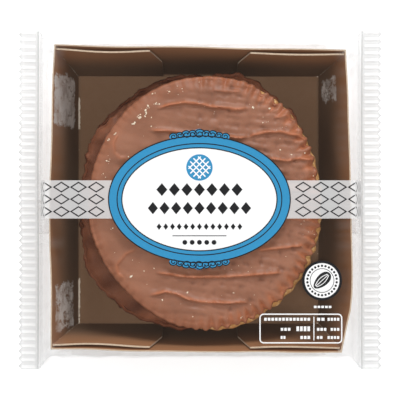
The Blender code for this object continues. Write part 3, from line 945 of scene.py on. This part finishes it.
stations = list(np.linspace(0.0, 44.0, 23)) + list(np.linspace(44.4, PRESS_X, 46))
stations = [-x for x in reversed(stations[1:])] + stations
film_rows, film_crease_and_light_rows = [], []
for x in stations:
    ring = sleeve_ring(x)
    y, z = ring[:, 0], ring[:, 1]
    on_top = ramp(z, 43.0, 43.3)
    share = ramp(abs(x), BASE_END_X, PRESS_X)
    corner = smooth(ramp(abs(y), 36.0, 56.0))
    upright = ramp(z, 1.0, 5.0) * ramp(z, 43.3, 40.0)
    fold = uneven(y, 0.35 * z, 6.5, 511 if x < 0 else 512)
    fold = fold * sin(pi * min(1.0, share * 1.02)) * (0.35 + 0.5 * corner)
    side_fold = uneven(x + 0.0 * y, 0.3 * z, 9.0, 513) + 0.5 * uneven(x + 0.2 * z, 0.1 * z, 4.0, 514)
    on_side = ramp(abs(y), 48.0, 52.0) * upright * (1.0 - share)
    flat_top = np.where(on_top > 0.5, film_top(np.full(len(y), x), y), z + fin_ripple(np.full(len(y), x), y))
    new_y = y - np.sign(y) * on_side * (0.12 + 0.14 * side_fold)
    new_x = x - np.sign(x) * 0.6 * abs(fold) * upright
    film_rows.append(np.column_stack((new_x * MM, new_y * MM, flat_top * MM)))
    # painted shade: a grey line along the film's outer edge over the front and back rims
    painted_rim_shade = np.exp(-(((abs(y) - 55.2) / 0.6) ** 2)) * (1.0 - share)
    # grey where the film stands steep at the ends and down the sides: haze of the film together with painted
    # shade
    haze_and_shade = 0.24 * smooth(ramp(abs(x), 54.8, 57.0)) + 0.22 * on_side * (1.0 - ramp(abs(y), 52.0, 50.0))
    folds = 0.4 * abs(fold) + 0.12 * on_side * abs(side_fold)
    film_crease_and_light_rows.append(np.clip(haze_and_shade + folds + 0.2 * painted_rim_shade, 0, 1))
film_faces = [f[::-1] for f in grid_faces(len(film_rows), len(film_rows[0]), True)]
add_piece(
    "film_sleeve", np.concatenate(film_rows), film_faces, [clear_film], ["film_wrap"], None,
    {"crease_and_painted_light": np.concatenate(film_crease_and_light_rows)},
)

# --- Pressed fins and back seam --------------------------------------------------------------
# The two faces of the film are welded between ribbed jaws into a fin at each end, cut off by a
# saw-tooth knife. The tube's own seam runs under the base and shows through both fins.

TOOTH_PITCH, TOOTH_DEPTH = 2.7, 1.4
RIB_PITCH, RIB_RISE = 2.55, 0.26
SEAM_FROM, SEAM_TO = -12.5, 0.0

pressed_film, wire = new_material("pressed_film")
# ribs painted white as painted highlights; the film between them and at the teeth grey as painted shade
rib = wire.painted("crease_and_painted_light")
ripple = wire.cloud(300.0, 3.0, 0.5, (0.4, 1.0, 1.0))
wire.surface({
    "Base Color": rib.tint(tone(0.57, 0.58, 0.58), tone(1.0, 1.0, 1.0)),
    "Roughness": 0.22 + 0.2 * ripple,
    "Specular IOR Level": 0.6,
    "Alpha": 0.66 + 0.2 * rib,
    "Normal": wire.bump(ripple, 0.12 * MM, 0.4),
})


def crimp(x, y, seed):
    """Height of the pressed ribs at one place of a fin, and how far that place is pressed, 0 to 1, which
    also sets the painted highlights on the ribs.
    """
    x = abs(x)
    pressed = smooth(ramp(x, PRESS_X + 0.3, PRESS_X + 1.0))
    pressed = pressed * smooth(ramp(x, FIN_END_X - 0.5, FIN_END_X - 1.6))
    phase = tau * (y + 0.25 * uneven(0.1 * x, y, 24.0, seed)) / RIB_PITCH
    rib = (0.5 + 0.5 * np.cos(phase)) ** 2.5
    fine = (0.5 + 0.5 * np.cos(phase * 3.0 + 1.0)) ** 3
    sway = 0.22 * uneven(0.3 * x, y, 22.0, seed + 1)
    rise = RIB_RISE * (rib - 0.5) * pressed + 0.03 * fine * pressed + sway
    return rise, pressed * np.clip(0.45 + 0.5 * rib + 0.2 * fine, 0.0, 1.0)


def add_fin(name, x_sign, seed):
    columns = int(2 * FIN_HALF_Y / TOOTH_PITCH * 12)
    y = np.linspace(-FIN_HALF_Y, FIN_HALF_Y, columns)
    wave = abs(((y / TOOTH_PITCH) % 1.0) - 0.5) * 2.0
    edge = FIN_END_X - TOOTH_DEPTH * wave * (0.85 + 0.15 * uneven(y, 0 * y, 9.0, seed))
    rows, fin_crease_and_light_rows = [], []
    for u in np.concatenate(([0.0, 0.02, 0.06], np.linspace(0.1, 1.0, 15))):
        x = (PRESS_X - 0.5) + (edge - PRESS_X + 0.5) * u
        rise, rib = crimp(x, y, seed)
        wave_z = fin_ripple(x_sign * np.full(columns, FIN_END_X), y)
        z = FIN_Z + wave_z + rise * smooth(ramp(x, PRESS_X - 0.2, PRESS_X + 1.2))
        rows.append(np.column_stack((x_sign * x * MM, y * MM, z * MM)))
        line = np.exp(-(((x - PRESS_X - 0.35) / 0.25) ** 2))
        fin_crease_and_light_rows.append(np.clip(rib + 0.6 * line, 0, 1))
    faces = grid_faces(len(rows), columns, False)
    if x_sign > 0:
        faces = [f[::-1] for f in faces]
    add_piece(
        name, np.concatenate(rows), faces, [pressed_film], ["film_wrap"], None,
        {"crease_and_painted_light": np.concatenate(fin_crease_and_light_rows)},
    )


add_fin("fin_left", -1.0, 521)
add_fin("fin_right", 1.0, 531)

seam_x = np.linspace(-FIN_END_X + 1.6, FIN_END_X - 1.6, 120)
seam_y = np.linspace(SEAM_FROM, SEAM_TO, 9)
seam_rows, seam_marks = [], []
for y in seam_y:
    rise = ramp(abs(seam_x), BASE_END_X, PRESS_X)
    low = 0.14 + (FIN_Z - FIN_HALF_THICK - 0.35) * rise
    low = low + fin_ripple(seam_x, np.full(len(seam_x), y)) * (rise > 0.98)
    wrinkle = 0.05 * uneven(seam_x, np.full(len(seam_x), 2.0 * y), 8.0, 541)
    seam_rows.append(np.column_stack((seam_x * MM, np.full(len(seam_x), y * MM), (low + wrinkle) * MM)))
    at_edge = np.exp(-((y - SEAM_FROM) / 0.8) ** 2) + np.exp(-((y - SEAM_TO) / 0.8) ** 2)
    seam_marks.append(np.full(len(seam_x), min(1.0, 0.16 + 0.3 * at_edge)))
add_piece(
    "back_seam", np.concatenate(seam_rows), [f[::-1] for f in grid_faces(len(seam_y), len(seam_x), False)],
    [clear_film], ["film_wrap"], None, {"crease_and_painted_light": np.concatenate(seam_marks)},
)

# --- Print on the film -----------------------------------------------------------------------
# Flexographic inks laid on the film: a hazy white band from end to end with outlined lozenges, a
# white oval in a blue frame with a small waffle sign, a roundel, and a ruled table. No lettering.

LINE = 0.41
OVAL_AT, OVAL_HALF = (-0.2, 0.25), (32.6, 22.8)
BAND_FROM, BAND_TO, BAND_LEFT, BAND_RIGHT = -6.6, 7.0, -64.5, 72.3
LIFT_BAND, LIFT_FRAME, LIFT_FIELD, LIFT_LINES = 0.02, 0.04, 0.06, 0.08


def ink_material(name, pale, deep, roughness, alpha=1.0):
    """Printed ink: two close tones in fine specks, as a soft plate lays it down."""
    material, wire = new_material(name)
    specks = wire.cloud(1400.0, 3.0)
    wire.surface({
        "Base Color": specks.tint(tone(*deep), tone(*pale)),
        "Roughness": roughness + 0.1 * specks,
        "Specular IOR Level": 0.3,
        "Alpha": alpha,
    })
    return material


white_ink = ink_material("white_ink", (0.95, 0.95, 0.95), (0.9, 0.9, 0.9), 0.4)
band_ink = ink_material("hazy_white_ink", (0.9, 0.9, 0.9), (0.86, 0.86, 0.86), 0.45, 0.6)
blue_ink = ink_material("blue_ink", (0.040, 0.295, 0.545), (0.031, 0.258, 0.50), 0.4)
dark_ink = ink_material("dark_ink", (0.016, 0.016, 0.018), (0.01, 0.01, 0.012), 0.45)


def unrolled(length):
    """Where a place this far along the film from the middle comes to lie, in mm from the middle."""
    x = np.linspace(0.0, PRESS_X, 1200)
    level = np.full_like(x, SLEEVE_TOP) - (SLEEVE_TOP - FIN_Z) * smooth(ramp(x, TOP_END_X, PRESS_X))
    run = np.concatenate(([0.0], np.cumsum(np.hypot(np.diff(x), np.diff(level)))))
    return np.sign(length) * np.interp(abs(length), run, x)


class Print:
    """Patches of one ink, laid on the film's upper side at one lift; x runs along the film."""

    def __init__(self, name, ink, lift):
        self.name, self.ink, self.lift = name, ink, lift
        self.points, self.faces = [], []

    def rows(self, rows, looped):
        """Skin between rows of (x, y) points in mm."""
        start = len(self.points)
        for row in rows:
            self.points += [tuple(p) for p in row]
        self.faces += grid_faces(len(rows), len(rows[0]), looped, start)

    def oval(self, cx, cy, half_x, half_y, inner=0.0, count=120):
        """Filled oval, or a frame where inner gives the width of its border."""
        angle = np.linspace(0.0, tau, count, endpoint=False)
        reach = max(half_x, half_y)
        steps = max(1, int(np.ceil((inner or reach) / 2.0)))
        rows = []
        for k in range(steps + 1):
            inset = (inner or reach * 0.999) * k / steps
            if inner:
                hx, hy = half_x - inset, half_y - inset
            else:
                hx, hy = half_x * (1 - inset / reach), half_y * (1 - inset / reach)
            rows.append(np.column_stack((cx + hx * np.cos(angle), cy + hy * np.sin(angle))))
        self.rows(rows, True)

    def stroke(self, points, width, closed=False):
        """Line of even width through points, with mitred corners."""
        p = np.array(points, float)
        ahead = np.roll(p, -1, axis=0) - p
        behind = p - np.roll(p, 1, axis=0)
        if not closed:
            ahead[-1], behind[0] = behind[-1], ahead[0]
        ahead /= np.hypot(*ahead.T)[:, None]
        behind /= np.hypot(*behind.T)[:, None]
        middle = ahead + behind
        middle /= np.hypot(*middle.T)[:, None]
        normal = np.column_stack((-middle[:, 1], middle[:, 0]))
        stretch = np.clip(np.sum(middle * ahead, axis=1), 0.35, 1.0)[:, None]
        side = normal * 0.5 * width / stretch
        self.rows([p - side, p + side], closed)

    def fill(self, points):
        """Flat filled shape, as a fan round its middle."""
        middle = np.mean(np.array(points), axis=0)
        reach = np.array(points) - middle
        self.rows([points, middle + reach * 0.5, middle + reach * 0.002], True)

    def make(self):
        x, y = np.array(self.points).T
        x = unrolled(x)
        z = film_top(x, y) + self.lift
        add_piece(
            self.name, np.column_stack((x, y, z)) * MM, [f[::-1] for f in self.faces], [self.ink],
            ["film_wrap"],
        )


def finely(points, step=0.8):
    """The closed outline with more points along its straight sides."""
    finer = []
    for a, b in zip(points, points[1:] + points[:1]):
        count = max(1, int(np.ceil(hypot(b[0] - a[0], b[1] - a[1]) / step)))
        finer += [(a[0] + (b[0] - a[0]) * k / count, a[1] + (b[1] - a[1]) * k / count) for k in range(count)]
    return finer


def lozenge(cx, cy, width, height):
    return [(cx + 0.5 * width, cy), (cx, cy + 0.5 * height), (cx - 0.5 * width, cy), (cx, cy - 0.5 * height)]


def round_box(x0, y0, x1, y1, radius, steps=6):
    points = []
    for cx, cy, start in (
        (x1 - radius, y1 - radius, 0.0), (x0 + radius, y1 - radius, 90.0),
        (x0 + radius, y0 + radius, 180.0), (x1 - radius, y0 + radius, 270.0),
    ):
        for k in range(steps + 1):
            a = radians(start + 90.0 * k / steps)
            points.append((cx + radius * cos(a), cy + radius * sin(a)))
    return points


band = Print("print_band", band_ink, LIFT_BAND)
band_x = np.concatenate((
    np.linspace(BAND_LEFT, -52.0, 40), np.linspace(-50.0, 50.0, 51), np.linspace(52.0, BAND_RIGHT, 60),
))
band_y = np.linspace(BAND_TO, BAND_FROM, 9)
band.rows([np.column_stack((band_x, np.full(len(band_x), y))) for y in band_y], False)
band.make()

lines = Print("print_lozenges", dark_ink, LIFT_LINES)
for cx in (-61.9, -55.7, -49.4, -43.3, -37.0, 36.8, 43.1, 49.4, 55.7, 61.9, 68.1):
    for cy in (4.6, 0.3, -4.1):
        lines.stroke(finely(lozenge(cx, cy, 5.35, 3.4)), LINE, closed=True)
lines.make()

frame_blue = Print("print_frame", blue_ink, LIFT_FRAME)
frame_blue.oval(*OVAL_AT, OVAL_HALF[0] - 0.1, OVAL_HALF[1] - 0.1, 5.0)
frame_lines = Print("print_frame_lines", dark_ink, LIFT_LINES)
frame_lines.oval(*OVAL_AT, *OVAL_HALF, LINE)
frame_lines.oval(*OVAL_AT, OVAL_HALF[0] - 3.05, OVAL_HALF[1] - 2.75, LINE * 0.9)
frame_lines.oval(*OVAL_AT, OVAL_HALF[0] - 4.75, OVAL_HALF[1] - 4.25, LINE)
field = Print("print_field", white_ink, LIFT_FIELD)
field.oval(*OVAL_AT, OVAL_HALF[0] - 5.0, OVAL_HALF[1] - 4.5)
crest = Print("print_crest", blue_ink, LIFT_FIELD)
for side in (1, -1):
    for k in range(-4, 5):
        x = OVAL_AT[0] + 2.3 * k
        y = OVAL_AT[1] + side * (OVAL_HALF[1] * (1 - (2.3 * k / OVAL_HALF[0]) ** 2) ** 0.5 + 0.5)
        size = 2.15 - 0.15 * abs(k) - 0.25 * (k % 2)
        crest.oval(x, y, size, size * 0.86, count=28)
        a = np.linspace(0.0, 1.55 * tau, 26)
        shrink = np.linspace(1.0, 0.22, 26) * size
        turn = 1.0 if k >= 0 else -1.0
        curl = np.column_stack((x + turn * shrink * np.cos(a), y + side * 0.86 * shrink * np.sin(a)))
        frame_lines.stroke([tuple(p) for p in curl], LINE * 0.85)
for sheet in (frame_blue, field, crest, frame_lines):
    sheet.make()

sign = Print("print_waffle_sign", blue_ink, LIFT_LINES)
sign.oval(-0.2, 11.6, 4.7, 4.7, count=64)
sign.make()
sign_lines = Print("print_sign_lattice", white_ink, LIFT_LINES + 0.02)
for step in (-2.4, -0.8, 0.8, 2.4):
    half = (3.9**2 - step**2) ** 0.5
    for turn in (1, -1):
        d = 0.7071
        a = (-0.2 + d * (step * turn - half), 11.6 + d * (step + half * turn))
        b = (-0.2 + d * (step * turn + half), 11.6 + d * (step - half * turn))
        sign_lines.stroke([a, ((a[0] + b[0]) / 2, (a[1] + b[1]) / 2), b], 0.45)
sign_lines.make()

rules = Print("print_rules", dark_ink, LIFT_LINES)
for count, cy, half_span, width, height in (
    (7, 3.7, 13.4, 3.9, 4.6), (9, -2.9, 16.6, 3.6, 4.4), (13, -9.5, 14.4, 1.7, 2.3),
):
    for k in range(count):
        cx = -0.2 - half_span + 2 * half_span * k / (count - 1)
        rules.fill(lozenge(cx, cy, width, height))
rules.stroke([(-9.8, -12.75), (-0.2, -12.75), (9.4, -12.75)], 0.3)
for k in range(5):
    rules.oval(-0.2 + 2.6 * (k - 2), -15.1, 0.85, 0.85, count=24)
rules.make()

ROUNDEL_AT, ROUNDEL_RADIUS = (43.5, -28.7), 7.1
roundel_edge = Print("print_roundel_edge", dark_ink, LIFT_BAND)
roundel_edge.oval(*ROUNDEL_AT, ROUNDEL_RADIUS, ROUNDEL_RADIUS, count=72)
roundel = Print("print_roundel", white_ink, LIFT_FRAME)
roundel.oval(*ROUNDEL_AT, 6.2, 6.2, count=72)
roundel_lines = Print("print_roundel_lines", dark_ink, LIFT_FIELD)
roundel_lines.oval(*ROUNDEL_AT, 4.35, 4.35, 0.22, count=72)
for k in range(26):
    a = tau * (k + 0.5) / 26
    roundel_lines.oval(ROUNDEL_AT[0] + 5.25 * cos(a), ROUNDEL_AT[1] + 5.25 * sin(a), 0.42, 0.42, count=12)
pod_turn = 0.75
a = np.linspace(0.0, tau, 40, endpoint=False)
u, v = 3.8 * np.cos(a), 2.1 * np.sin(a) * (1.0 + 0.2 * np.cos(a))
pod_x, pod_y = ROUNDEL_AT
roundel_lines.fill([
    (pod_x + p * cos(pod_turn) - q * sin(pod_turn), pod_y + p * sin(pod_turn) + q * cos(pod_turn))
    for p, q in zip(u, v)
])
pod_ribs = Print("print_pod_ribs", white_ink, LIFT_LINES)
for bow in (-1.05, 0.0, 1.05):
    along = np.linspace(-3.0, 3.0, 14)
    across = bow * np.cos(along * pi / 7.4)
    pod_ribs.stroke([
        (pod_x + p * cos(pod_turn) - q * sin(pod_turn), pod_y + p * sin(pod_turn) + q * cos(pod_turn))
        for p, q in zip(along, across)
    ], 0.26)
for sheet in (roundel_edge, roundel, roundel_lines, pod_ribs):
    sheet.make()

ruled = Print("print_table", white_ink, LIFT_FIELD)
ruled.stroke(round_box(21.4, -50.9, 50.5, -40.7, 1.3), 0.45, closed=True)
ruled.stroke([(40.6, -50.0), (40.6, -46.0), (40.6, -41.6)], 0.34)


def dashes(start, end, y, height):
    """Row of short blocks in place of words."""
    count = max(1, round((end - start) / 1.25))
    pitch = (end - start) / count
    for k in range(count):
        x = start + pitch * (k + 0.5)
        ruled.stroke([(x - 0.36 * pitch, y), (x, y), (x + 0.36 * pitch, y)], 0.85 * height)


for start, end, y, height in (
    (22.7, 39.4, -42.5, 1.25), (28.6, 32.4, -46.1, 1.2), (34.2, 39.4, -45.9, 2.0), (28.6, 30.6, -49.0, 1.2),
    (35.6, 39.4, -49.0, 1.3), (41.5, 44.6, -42.5, 1.25), (45.3, 49.8, -42.5, 1.25), (41.5, 45.2, -46.1, 1.2),
    (46.4, 49.8, -46.1, 1.2), (41.5, 43.8, -49.0, 1.2), (45.3, 49.8, -49.0, 1.2), (40.4, 47.0, -38.1, 0.95),
):
    dashes(start, end, y, height)
ruled.make()

low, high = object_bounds()
